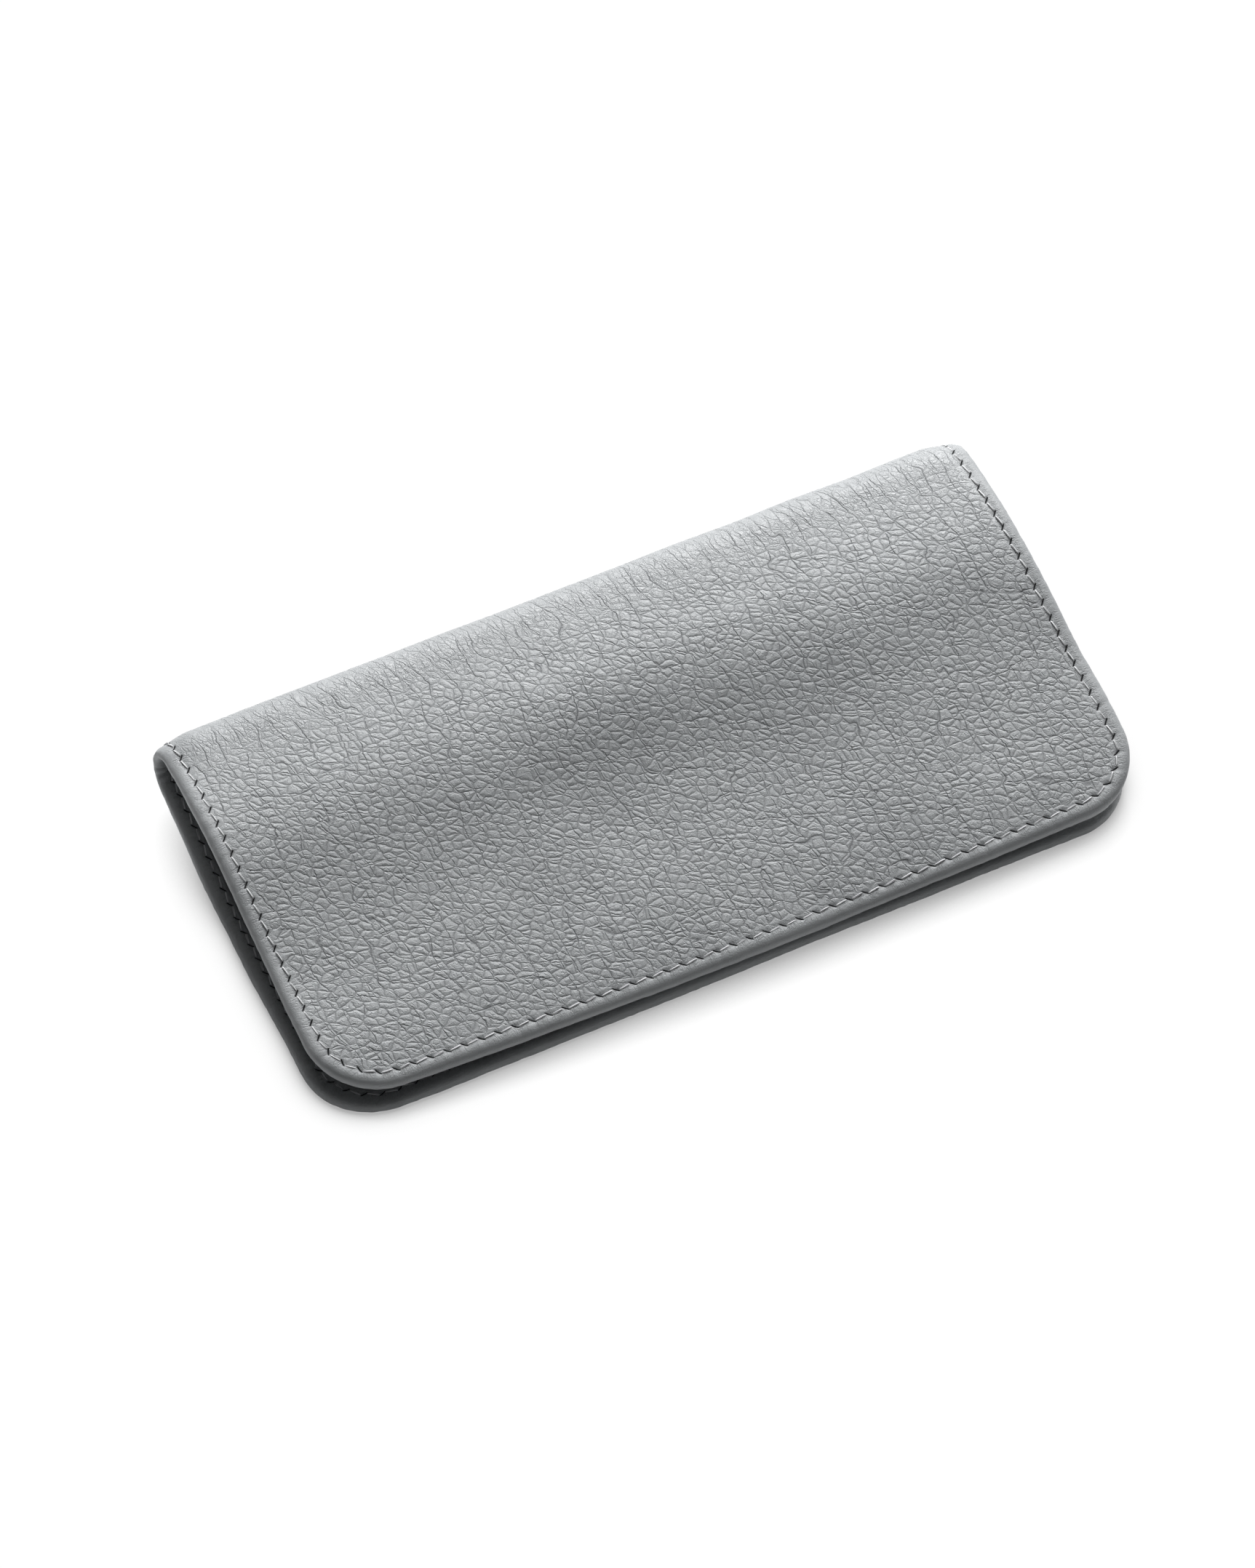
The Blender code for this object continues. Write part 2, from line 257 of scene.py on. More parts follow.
def lining_section(step):
    ds = np.concatenate([spaced(3.05, 4.2, 0.25), spaced(4.2, REACH, step)[1:]])[::-1][1:]
    rows = [(d, THICK - LINING_SUNK, REACH - d) for d in ds]
    past = rows[-1][2]
    for d, h in ((2.85, 2.17), (2.72, 2.06), (2.67, 1.86), (2.72, 1.7)):
        past += 0.2
        rows.append((d, h, past))
    return rows


def lattice_noise(u, v, seed):
    """Smooth value noise, from -1 to 1, one lump per unit."""
    iu, iv = np.floor(u).astype(np.int64), np.floor(v).astype(np.int64)
    fu, fv = u - iu, v - iv
    fu, fv = fu * fu * (3 - 2 * fu), fv * fv * (3 - 2 * fv)

    def corner(a, b):
        n = (a * 374761393 + b * 668265263 + seed * 1274126177) & 0xFFFFFFFF
        n = ((n ^ (n >> 13)) * 1103515245) & 0xFFFFFFFF
        return ((n ^ (n >> 16)) & 0xFFFF) / 32767.5 - 1.0

    low = corner(iu, iv) * (1 - fu) + corner(iu + 1, iv) * fu
    high = corner(iu, iv + 1) * (1 - fu) + corner(iu + 1, iv + 1) * fu
    return low * (1 - fv) + high * fv


def stitch_phase(seam, seam_length):
    """Signed distance to the nearest needle hole along the seam, and its number."""
    pitch = seam_length / STITCHES
    number = np.round(seam / pitch)
    return seam - number * pitch, number, pitch


def build_mesh(name, points, faces):
    """A mesh from millimetre points; a face with its first and last point alike is a triangle."""
    mesh = bpy.data.meshes.new(name)
    mesh.vertices.add(len(points))
    mesh.vertices.foreach_set("co", (points * MM).astype(np.float32).ravel())
    pointed = faces[:, 0] == faces[:, 3]
    kept = np.ones(faces.shape, bool)
    kept[pointed, 3] = False
    loops = faces[kept].astype(np.int32)
    mesh.loops.add(len(loops))
    mesh.loops.foreach_set("vertex_index", loops)
    mesh.polygons.add(len(faces))
    sizes = np.where(pointed, 3, 4)
    mesh.polygons.foreach_set("loop_start", (np.cumsum(sizes) - sizes).astype(np.int32))
    mesh.polygons.foreach_set("use_smooth", np.ones(len(faces), bool))
    mesh.update(calc_edges=True)
    mesh.validate()
    return mesh


def add_attribute(mesh, name, values, kind):
    made = mesh.attributes.new(name, kind, "POINT")
    key = "vector" if kind == "FLOAT_VECTOR" else "value"
    made.data.foreach_set(key, np.asarray(values, np.float32).ravel())


def read_vectors(collection, key, count):
    out = np.zeros(count * 3, np.float32)
    collection.foreach_get(key, out)
    return out.reshape(-1, 3).astype(float)


# ---------------------------------------------------------------- node helpers
def node(tree, kind, **values):
    made = tree.nodes.new(kind)
    for key, value in values.items():
        setattr(made, key, value)
    return made


def feed(tree, socket, value):
    if isinstance(value, bpy.types.NodeSocket):
        tree.links.new(value, socket)
    else:
        socket.default_value = value


def maths(tree, operation, a, b=0.0, clamp=False):
    made = node(tree, "ShaderNodeMath", operation=operation, use_clamp=clamp)
    feed(tree, made.inputs[0], a)
    feed(tree, made.inputs[1], b)
    return made.outputs[0]


def vector_maths(tree, operation, a, b=(0.0, 0.0, 0.0)):
    made = node(tree, "ShaderNodeVectorMath", operation=operation)
    feed(tree, made.inputs[0], a)
    if operation == "SCALE":
        feed(tree, made.inputs["Scale"], b)
    else:
        feed(tree, made.inputs[1], b)
    return made.outputs[0]


def ramp(tree, value, low, high, out_low=0.0, out_high=1.0, smooth=True):
    made = node(tree, "ShaderNodeMapRange")
    made.interpolation_type = "SMOOTHSTEP" if smooth else "LINEAR"
    feed(tree, made.inputs["Value"], value)
    feed(tree, made.inputs["From Min"], low)
    feed(tree, made.inputs["From Max"], high)
    feed(tree, made.inputs["To Min"], out_low)
    feed(tree, made.inputs["To Max"], out_high)
    return made.outputs["Result"]


def noise(tree, vector, scale, detail=2.0, rough=0.5, offset=None):
    if offset is not None:
        vector = vector_maths(tree, "ADD", vector, offset)
    made = node(tree, "ShaderNodeTexNoise")
    feed(tree, made.inputs["Vector"], vector)
    made.inputs["Scale"].default_value = scale
    made.inputs["Detail"].default_value = detail
    made.inputs["Roughness"].default_value = rough
    return made


def cells(tree, vector, scale):
    made = node(tree, "ShaderNodeTexVoronoi", feature="DISTANCE_TO_EDGE")
    made.voronoi_dimensions = "2D"
    feed(tree, made.inputs["Vector"], vector)
    made.inputs["Scale"].default_value = scale
    made.inputs["Randomness"].default_value = 0.95
    return made.outputs["Distance"]


def turned(tree, vector, degrees, along, across):
    """Strip coordinates turned, and scaled to cells per millimetre along and across."""
    made = node(tree, "ShaderNodeVectorRotate", rotation_type="Z_AXIS")
    feed(tree, made.inputs["Vector"], vector)
    made.inputs["Angle"].default_value = math.radians(degrees)
    return vector_maths(tree, "MULTIPLY", made.outputs[0], (along, across, 0.0))


def crease(tree, distance, width):
    """1 at the bottom of a crease, falling away over its width."""
    ratio = maths(tree, "DIVIDE", distance, -width)
    return maths(tree, "EXPONENT", ratio)


def pebbles(tree, vector):
    """The grain on the strip: height in millimetres below the pebbles' tops, and how deep
    in a crease a point lies."""
    middle = (0.5, 0.5, 0.5)
    slow = vector_maths(tree, "SUBTRACT", noise(tree, vector, 0.45, 2.0).outputs["Color"], middle)
    quick = vector_maths(tree, "SUBTRACT", noise(tree, vector, 2.9, 2.0).outputs["Color"], middle)
    warped = vector_maths(tree, "ADD", vector, vector_maths(tree, "SCALE", slow, 1.0))
    warped = vector_maths(tree, "ADD", warped, vector_maths(tree, "SCALE", quick, 0.30))
    patchy = noise(tree, vector, 0.40, 1.0, 0.5, (3.0, 9.0, 0.0)).outputs[0]
    uneven = noise(tree, vector, 0.22, 2.0, 0.6, (7.0, 3.0, 0.0)).outputs[0]

    def net(degrees, along, across, shift, width, round_part=0.0):
        moved = vector_maths(tree, "ADD", warped, (*shift, 0.0))
        distance = cells(tree, turned(tree, moved, degrees, along, across), 1.0)
        sharp = crease(tree, distance, width)
        if not round_part:
            return sharp
        dome = ramp(tree, distance, 0.0, 0.5, 1.0, 0.0, smooth=False)
        dome = maths(tree, "MULTIPLY", maths(tree, "MULTIPLY", dome, dome), round_part)
        return maths(tree, "ADD", dome, maths(tree, "MULTIPLY", sharp, 1.0 - round_part))

    def lines(degrees, per_mm, wander, shift, width):
        """Long creases that run side by side, wandering a little."""
        where = turned(tree, vector_maths(tree, "ADD", warped, (*shift, 0.0)), degrees, 1.0, 1.0)
        split = node(tree, "ShaderNodeSeparateXYZ")
        feed(tree, split.inputs[0], where)
        long_and_thin = vector_maths(tree, "MULTIPLY", where, (0.10, 0.26, 0.0))
        sway = noise(tree, long_and_thin, 1.0, 1.0).outputs[0]
        across = maths(tree, "ADD", split.outputs[1], maths(tree, "MULTIPLY", sway, wander))
        part = maths(tree, "FRACT", maths(tree, "MULTIPLY", across, per_mm))
        distance = maths(tree, "ABSOLUTE", maths(tree, "SUBTRACT", part, 0.5))
        return crease(tree, maths(tree, "DIVIDE", distance, per_mm), width)

    place_on_strip = node(tree, "ShaderNodeSeparateXYZ")
    feed(tree, place_on_strip.inputs[0], vector)
    along = place_on_strip.outputs[1]
    bend = ramp(tree, along, FOLD_START - 4.0, FOLD_START + 4.0)
    past_bend = ramp(tree, along, FOLD_END, FOLD_END + 8.0, 1.0, 0.0)
    bend = maths(tree, "MULTIPLY", bend, past_bend)
    flat = maths(tree, "SUBTRACT", 1.0, bend)

    # rounded pebbles, two families of long creases, creases across the fold, fine crackle
    pillow = net(-35.0, 0.60, 0.84, (0.0, 0.0), 0.075, 0.76)
    left = lines(-81.0, 0.38, 6.0, (40.0, 5.0), 0.10)
    stretched = net(-84.0, 0.24, 0.85, (70.0, 15.0), 0.055)
    right = lines(-22.0, 0.28, 7.0, (9.0, 60.0), 0.10)
    small = net(35.0, 1.50, 1.28, (31.0, 17.0), 0.12)
    # over the fold the pebbles are pulled flat and fine creases run across it
    pulled = maths(tree, "ADD", maths(tree, "MULTIPLY", flat, 0.45), 0.55)
    pillow = maths(tree, "MULTIPLY", pillow, pulled)
    stretched = maths(tree, "MULTIPLY", stretched, maths(tree, "MULTIPLY", bend, 0.7))
    left = maths(tree, "MAXIMUM", left, stretched)
    long = maths(tree, "MAXIMUM", left, maths(tree, "MULTIPLY", right, flat))
    long = maths(tree, "MULTIPLY", long, ramp(tree, patchy, 0.25, 0.55, 0.75, 1.35))
    small = maths(tree, "MULTIPLY", small, ramp(tree, patchy, 0.35, 0.72, 0.55, 0.25))
    depth = maths(tree, "MAXIMUM", maths(tree, "MAXIMUM", pillow, long), small)
    lump = noise(tree, vector, 1.1, 1.0, 0.5, (5.0, 8.0, 0.0)).outputs[0]
    total = maths(tree, "ADD", depth, maths(tree, "MULTIPLY", lump, 0.55))
    total = maths(tree, "MULTIPLY", total, ramp(tree, uneven, 0.3, 0.7, 0.75, 1.1))
    return {"height": maths(tree, "MULTIPLY", total, -GRAIN_DEPTH), "depth": depth}


# ---------------------------------------------------------------- relief of the grain
def grain_modifier():
    """Geometry nodes that raise the pebbles along the surface's normal."""
    tree = bpy.data.node_groups.new("leather_grain", "GeometryNodeTree")
    tree.interface.new_socket("Geometry", in_out="INPUT", socket_type="NodeSocketGeometry")
    tree.interface.new_socket("Geometry", in_out="OUTPUT", socket_type="NodeSocketGeometry")
    entry = node(tree, "NodeGroupInput")
    leave = node(tree, "NodeGroupOutput")
    where = node(tree, "GeometryNodeInputNamedAttribute", data_type="FLOAT_VECTOR")
    where.inputs["Name"].default_value = "strip"
    amount = node(tree, "GeometryNodeInputNamedAttribute", data_type="FLOAT")
    amount.inputs["Name"].default_value = "grain"
    height = pebbles(tree, where.outputs[0])["height"]
    height = maths(tree, "MULTIPLY", height, maths(tree, "MULTIPLY", amount.outputs[0], MM))
    normal = node(tree, "GeometryNodeInputNormal")
    offset = vector_maths(tree, "SCALE", normal.outputs[0], height)
    move = node(tree, "GeometryNodeSetPosition")
    tree.links.new(entry.outputs[0], move.inputs["Geometry"])
    tree.links.new(offset, move.inputs["Offset"])
    tree.links.new(move.outputs[0], leave.inputs[0])
    return tree


def seam_relief(data, phase, number):
    """Valley, needle dimples and gathers by the stitch line, in millimetres, outwards."""
    inset = data["edge"]
    across = inset - STITCH_INSET
    valley = -0.07 * np.exp(-((across / 0.45) ** 2))
    slant = phase - 0.25 * across
    cut = math.radians(SLIT_ANGLE)
    slit = across * math.cos(cut) - phase * math.sin(cut)
    run = across * math.sin(cut) + phase * math.cos(cut)
    dimple = -0.07 * np.exp(-((slit / 0.24) ** 2) - (run / 0.5) ** 4)
    # small gathers run out from each needle hole
    outward = np.clip(-across, 0.0, 3.0)
    inward = np.clip(across, 0.0, 6.0)
    strength = 0.6 + 0.4 * lattice_noise(number * 1.7, number * 0.0, 5)
    reach = 0.10 * np.exp(-((slant / 0.30) ** 2))
    gather = -reach * strength * np.exp(-((outward / 1.3) ** 2)) * (outward > 0)
    gather -= reach * strength * np.exp(-((inward / 0.9) ** 2)) * (inward > 0)
    puff = 0.04 * np.exp(-(((inset - 0.95) / 0.5) ** 2))
    total = valley + dimple + gather + puff
    return np.where(inset > 20.0, 0.0, total)


def skin(name, step, section, inner):
    """Points, faces and fields of one whole layer, bent, with its seam relief in place."""
    data, faces = strip_mesh(step, section)
    flat, inset = data["flat"], data["inset"]
    if inner:
        faces = faces[:, ::-1]
    points = place(flat[:, 0], flat[:, 1], flat[:, 2])
    mesh = build_mesh(name, points, faces)
    normals = read_vectors(mesh.vertex_normals, "vector", len(points))
    bpy.data.meshes.remove(mesh)
    if not inner:
        # the outer layer's normals have to point away from the case
        outwards = place(flat[:, 0], flat[:, 1], flat[:, 2] - 0.01) - points
        field = inset > 20.0
        if (normals[field] * outwards[field]).sum() < 0:
            faces = faces[:, ::-1]
            normals = -normals
    phase, number, _ = stitch_phase(data["seam"], data["seam_length"])
    relief = seam_relief(data, phase, number)
    u, v = data["unrolled"].T
    if inner:
        # the lining is creased inside the fold
        fold = smoothstep(FOLD_START - 8.0, FOLD_START + 3.0, flat[:, 1])
        fold *= 1.0 - smoothstep(FOLD_END - 3.0, FOLD_END + 8.0, flat[:, 1])
        wave = lattice_noise(u * 0.42, v * 0.10, 3) + 0.6 * lattice_noise(u * 1.1, v * 0.16, 4)
        cross = lattice_noise(u * 0.12, v * 1.05, 8)
        relief = relief + fold * (0.20 * wave + 0.14 * cross)
        relief = relief + 0.05 * lattice_noise(u * 0.16, v * 0.16, 6)
    else:
        relief = relief + 0.10 * lattice_noise(u * 0.11, v * 0.11, 1)
        edge_fade = 1.0 - smoothstep(0.2, 2.4, inset)
        ripple = lattice_noise(data["seam"] * 1.25, inset * 0.7, 2)
        relief = relief + np.where(inset > 20, 0.0, 0.035 * edge_fade * ripple)
        # the turned-over edge is gathered near the fold
        turned_in = smoothstep(0.45 * THICK, 0.9 * THICK, flat[:, 2])
        near_fold = smoothstep(FOLD_START - 9.0, FOLD_START, flat[:, 1])
        near_fold *= 1.0 - smoothstep(FOLD_END, FOLD_END + 9.0, flat[:, 1])
        gathers = lattice_noise(data["seam"] * 0.95, data["edge"] * 0.3, 7)
        relief = relief + 0.13 * turned_in * near_fold * gathers
    points = points + normals * relief[:, None]
    return data, faces, points


def cut_layer(name, data, faces, points, grain_tree=None):
    """Raises the grain on the whole layer, then parts it at the middle of the fold."""
    mesh = build_mesh(name, points, faces)
    inset = data["inset"]
    strip = np.column_stack([data["unrolled"], np.zeros(len(points))])
    amount = 0.12 + 0.88 * smoothstep(1.9, 3.4, inset)
    along = data["flat"][:, 1]
    over_fold = smoothstep(FOLD_START - 6.0, FOLD_START + 2.0, along)
    over_fold *= 1.0 - smoothstep(FOLD_MIDDLE + 2.0, FOLD_END + 6.0, along)
    amount *= 1.0 - 0.25 * over_fold
    add_attribute(mesh, "strip", strip, "FLOAT_VECTOR")
    add_attribute(mesh, "grain", amount, "FLOAT")
    normals = read_vectors(mesh.vertex_normals, "vector", len(points))
    if grain_tree:
        holder = bpy.data.objects.new(name, mesh)
        bpy.context.scene.collection.objects.link(holder)
        holder.modifiers.new("grain", "NODES").node_group = grain_tree
        bpy.context.view_layer.update()
        graph = bpy.context.evaluated_depsgraph_get()
        raised = bpy.data.meshes.new_from_object(holder.evaluated_get(graph), depsgraph=graph)
        bpy.data.objects.remove(holder)
        points = read_vectors(raised.vertices, "co", len(points)) / MM
        bpy.data.meshes.remove(raised)
    bpy.data.meshes.remove(mesh)
    middle = along[faces].mean(axis=1)
    turn = data["seam"] * (2.0 * math.pi * STITCHES / data["seam_length"])
    edge = np.minimum(data["edge"], 9.0)
    seam = np.column_stack([np.sin(turn), np.cos(turn), edge])
    rim = np.column_stack([data["seam"], edge, np.zeros(len(points))])
    halves = []
    for part, keep in (("rear", middle < FOLD_MIDDLE), ("flap", middle >= FOLD_MIDDLE)):
        used, index = np.unique(faces[keep], return_inverse=True)
        piece = build_mesh(part + "_" + name, points[used], index.reshape(-1, 4))
        add_attribute(piece, "strip", strip[used], "FLOAT_VECTOR")
        add_attribute(piece, "grain", amount[used], "FLOAT")
        add_attribute(piece, "seam", seam[used], "FLOAT_VECTOR")
        add_attribute(piece, "rim", rim[used], "FLOAT_VECTOR")
        piece.normals_split_custom_set_from_vertices(normals[used].tolist())
        made = bpy.data.objects.new(part + "_" + name, piece)
        bpy.context.scene.collection.objects.link(made)
        halves.append(made)
    return halves


# ---------------------------------------------------------------- stitching
def seam_point(p):
    """Where a distance along the stitch line lies on the flat strip, and its outward side."""
    half, long = 0.5 * WIDTH - REACH, STRIP - 2.0 * REACH
    radius = REACH - STITCH_INSET
    arc = 0.5 * math.pi * radius
    lengths = np.array([long, arc, 2 * half, arc, long, arc, 2 * half, arc])
    ends = np.cumsum(lengths)
    p = np.mod(p, ends[-1])
    part = np.searchsorted(ends, p, side="right")
    t = (p - (ends - lengths)[part]) / lengths[part]
    x, s, angle = np.zeros_like(p), np.zeros_like(p), np.zeros_like(p)
    corners = ((half, REACH), (half, STRIP - REACH), (-half, STRIP - REACH), (-half, REACH))
    for side in range(4):
        facing = side * 0.5 * math.pi
        a, b = np.array(corners[side]), np.array(corners[(side + 1) % 4])
        on_side, on_arc = part == 2 * side, part == 2 * side + 1
        angle = np.where(on_side, facing, np.where(on_arc, facing + 0.5 * math.pi * t, angle))
        line = a + (b - a) * t[:, None]
        x = np.where(on_side, line[:, 0], np.where(on_arc, b[0], x))
        s = np.where(on_side, line[:, 1], np.where(on_arc, b[1], s))
    return x + radius * np.cos(angle), s + radius * np.sin(angle), angle


def stitch_mesh(inner, seam_length):
    """Every stitch on one face as a short slanted capsule whose ends dive into its holes."""
    pitch = seam_length / STITCHES
    rings, sides = 13, 10
    t = np.linspace(-1.0, 1.0, rings)
    points, faces, owner, run = [], [], [], []
    for number in range(STITCHES):
        wobble = rng.normal(0.0, 0.03, 3)
        p = (number + 0.5) * pitch + t * 0.97 + wobble[0]  # half a stitch is 0.97 mm
        x, s, angle = seam_point(p)
        slant = THREAD_SLANT * t + wobble[1]
        x, s = x + np.cos(angle) * slant, s + np.sin(angle) * slant
        arch = np.sqrt(np.clip(1.0 - np.abs(t) ** 4.0, 0.0, 1.0))
        high = -0.50 + 0.45 * arch + 0.3 * wobble[2]
        depth = THICK + high if inner else -high
        spine = place(x, s, depth)
        above = place(x, s, depth + (0.05 if inner else -0.05)) - spine
        above /= np.linalg.norm(above, axis=1)[:, None]
        ahead = np.gradient(spine, axis=0)
        ahead /= np.linalg.norm(ahead, axis=1)[:, None]
        side = np.cross(ahead, above)
        side /= np.linalg.norm(side, axis=1)[:, None]
        above = np.cross(side, ahead)
        radius = THREAD_RADIUS * np.sqrt(np.clip(1.0 - (np.abs(t) * 0.985) ** 5, 0.05, 1.0))
        start = len(points) * rings * sides
        around = np.linspace(0.0, 2 * math.pi, sides, endpoint=False)
        tube = spine[:, None] + radius[:, None, None] * (
            np.cos(around)[None, :, None] * side[:, None]
            + 0.82 * np.sin(around)[None, :, None] * above[:, None]
        )
        points.append(tube.reshape(-1, 3))
        a = start + np.arange((rings - 1) * sides).reshape(rings - 1, sides)
        b = np.roll(a, -1, axis=1)
        faces.append(np.stack([a, a + sides, b + sides, b], -1).reshape(-1, 4))
        owner.append(np.full(rings * sides, s[rings // 2]))
        run.append(np.repeat(p, sides) * 1.1 + np.tile(around, rings) * 2.0)
    joined = [np.concatenate(part) for part in (points, faces, owner, run)]
    return (*joined, rings, sides)


def stitch_pieces(seam_length):
    """The stitches of both faces, parted at the middle of the fold."""
    made = []
    layers = [stitch_mesh(inner, seam_length) for inner in (False, True)]
    for part, before in (("rear", True), ("flap", False)):
        all_points, all_faces, all_run, offset = [], [], [], 0
        for points, faces, owner, run, rings, sides in layers:
            per = rings * sides
            for number in range(STITCHES):
                if (owner[number * per] < FOLD_MIDDLE) != before:
                    continue
                block = slice(number * per, (number + 1) * per)
                grid = (rings - 1) * sides
                local = faces[number * grid : (number + 1) * grid] - number * per
                all_points.append(points[block])
                all_run.append(run[block])
                all_faces += (local + offset).tolist()
                all_faces.append([offset + i for i in range(sides)][::-1])
                all_faces.append([offset + per - sides + i for i in range(sides)])
                offset += per
        mesh = bpy.data.meshes.new(part + "_stitches")
        mesh.from_pydata((np.concatenate(all_points) * MM).tolist(), [], all_faces)
        mesh.polygons.foreach_set("use_smooth", np.ones(len(mesh.polygons), bool))
        mesh.update()
        run = np.concatenate(all_run)
        add_attribute(mesh, "run", run, "FLOAT")
        piece = bpy.data.objects.new(part + "_stitches", mesh)
        bpy.context.scene.collection.objects.link(piece)
        made.append(piece)
    return made


# ---------------------------------------------------------------- materials
def new_material(name):
    made = bpy.data.materials.new(name)
    made.use_nodes = True
    tree = made.node_tree
    return made, tree, tree.nodes["Principled BSDF"]


def attribute(tree, name):
    return node(tree, "ShaderNodeAttribute", attribute_name=name)


def mix_colour(tree, amount, a, b, blend="MIX"):
    made = node(tree, "ShaderNodeMix", data_type="RGBA", blend_type=blend)
    feed(tree, made.inputs[0], amount)
    feed(tree, made.inputs[6], a)
    feed(tree, made.inputs[7], b)
    return made.outputs[2]


def bump(tree, height, distance, strength=1.0, normal=None):
    made = node(tree, "ShaderNodeBump")
    made.inputs["Strength"].default_value = strength
    made.inputs["Distance"].default_value = distance
    feed(tree, made.inputs["Height"], height)
    if normal is not None:
        tree.links.new(normal, made.inputs["Normal"])
    return made.outputs["Normal"]


def seam_marks(tree):
    """Distances from the nearest needle hole along and across the seam, in millimetres."""
    seam = node(tree, "ShaderNodeSeparateXYZ")
    tree.links.new(attribute(tree, "seam").outputs["Vector"], seam.inputs[0])
    turn = maths(tree, "ARCTAN2", seam.outputs[0], seam.outputs[1])
    along = maths(tree, "MULTIPLY", turn, PITCH / (2.0 * math.pi))
    across = maths(tree, "SUBTRACT", seam.outputs[2], STITCH_INSET)
    return along, across, seam.outputs[2]


def gauss(tree, value, width):
    ratio = maths(tree, "DIVIDE", value, width)
    return maths(tree, "EXPONENT", maths(tree, "MULTIPLY", maths(tree, "MULTIPLY", ratio, ratio), -1.0))


def leather_material():
    made, tree, shader = new_material("pebbled_leather")
    strip = attribute(tree, "strip").outputs["Vector"]
    amount = attribute(tree, "grain").outputs["Fac"]
    along, across, inset = seam_marks(tree)
    grain = pebbles(tree, strip)
    height = maths(tree, "MULTIPLY", grain["height"], amount)
    deep = maths(tree, "MULTIPLY", grain["depth"], amount)

    # needle holes are slanted slits, painted black inside as their shade
    cut = math.radians(SLIT_ANGLE)
    slit = maths(tree, "MULTIPLY", across, math.cos(cut))
    slit = maths(tree, "SUBTRACT", slit, maths(tree, "MULTIPLY", along, math.sin(cut)))
    run = maths(tree, "MULTIPLY", across, math.sin(cut))
    run = maths(tree, "ADD", run, maths(tree, "MULTIPLY", along, math.cos(cut)))
    short = ramp(tree, maths(tree, "ABSOLUTE", run), 0.40, 0.68, 1.0, 0.0)
    hole = maths(tree, "MULTIPLY", gauss(tree, slit, 0.085), short)
    # painted shade along the valley of the stitch line
    furrow = gauss(tree, across, 0.22)
    # faint wrinkles across the rim, beside the seam: a shallow bump, with painted shade darkening them
    rim = attribute(tree, "rim").outputs["Vector"]
    drawn_out = vector_maths(tree, "MULTIPLY", rim, (1.35, 0.35, 0.0))
    crinkle = noise(tree, drawn_out, 1.0, 3.0, 0.6).outputs[0]
    lines = gauss(tree, maths(tree, "SUBTRACT", crinkle, 0.5), 0.03)
    by_seam = ramp(tree, inset, 1.9, 2.9, 1.0, 0.0)
    outside = maths(tree, "MULTIPLY", ramp(tree, inset, 0.4, 1.5), by_seam)
    near = maths(tree, "MULTIPLY", lines, outside)

    blotch = noise(tree, strip, 0.06, 3.0, 0.55).outputs[0]
    speck = noise(tree, strip, 3.2, 3.0, 0.6).outputs[0]
    darker, lighter = (0.395, 0.411, 0.421, 1), (0.435, 0.452, 0.462, 1)
    base = mix_colour(tree, ramp(tree, blotch, 0.3, 0.7), darker, lighter)
    base = mix_colour(tree, ramp(tree, speck, 0.35, 0.7, 0.0, 0.22), base, (0.40, 0.41, 0.425, 1))
    # painted shade: the creases are coloured darker the deeper a point lies in them
    base = mix_colour(tree, ramp(tree, deep, 0.40, 1.4, 0.0, 0.60), base, (0.13, 0.136, 0.144, 1))
    # painted shade in the rim's wrinkles
    base = mix_colour(tree, maths(tree, "MULTIPLY", near, 0.20), base, (0.15, 0.155, 0.165, 1))
    # painted shade darkens the valley along the stitch line
    base = mix_colour(tree, maths(tree, "MULTIPLY", furrow, 0.22), base, (0.12, 0.124, 0.13, 1))
    # painted shade: the needle holes are coloured near black
    base = mix_colour(tree, ramp(tree, hole, 0.25, 0.8), base, (0.008, 0.008, 0.009, 1))
    tree.links.new(base, shader.inputs["Base Color"])
    rough = ramp(tree, noise(tree, strip, 0.9, 3.0, 0.6).outputs[0], 0.3, 0.7, 0.28, 0.38)
    rough = maths(tree, "ADD", rough, maths(tree, "MULTIPLY", deep, 0.25))
    rough = maths(tree, "ADD", rough, ramp(tree, inset, 1.6, 3.0, 0.16, 0.0))
    tree.links.new(rough, shader.inputs["Roughness"])
    shader.inputs["Specular IOR Level"].default_value = 0.5

    fine = maths(tree, "SUBTRACT", noise(tree, strip, 2.6, 2.0, 0.65).outputs[0], 0.5)
    pores = maths(tree, "MULTIPLY", maths(tree, "ABSOLUTE", fine), -0.09)
    pits = maths(tree, "MULTIPLY", noise(tree, strip, 6.5, 1.0, 0.5).outputs[0], 0.032)
    height = maths(tree, "ADD", height, maths(tree, "ADD", pores, pits))
    height = maths(tree, "ADD", height, maths(tree, "MULTIPLY", hole, -0.30))
    height = maths(tree, "ADD", height, maths(tree, "MULTIPLY", near, -0.035))
    tree.links.new(bump(tree, height, MM), shader.inputs["Normal"])
    return made


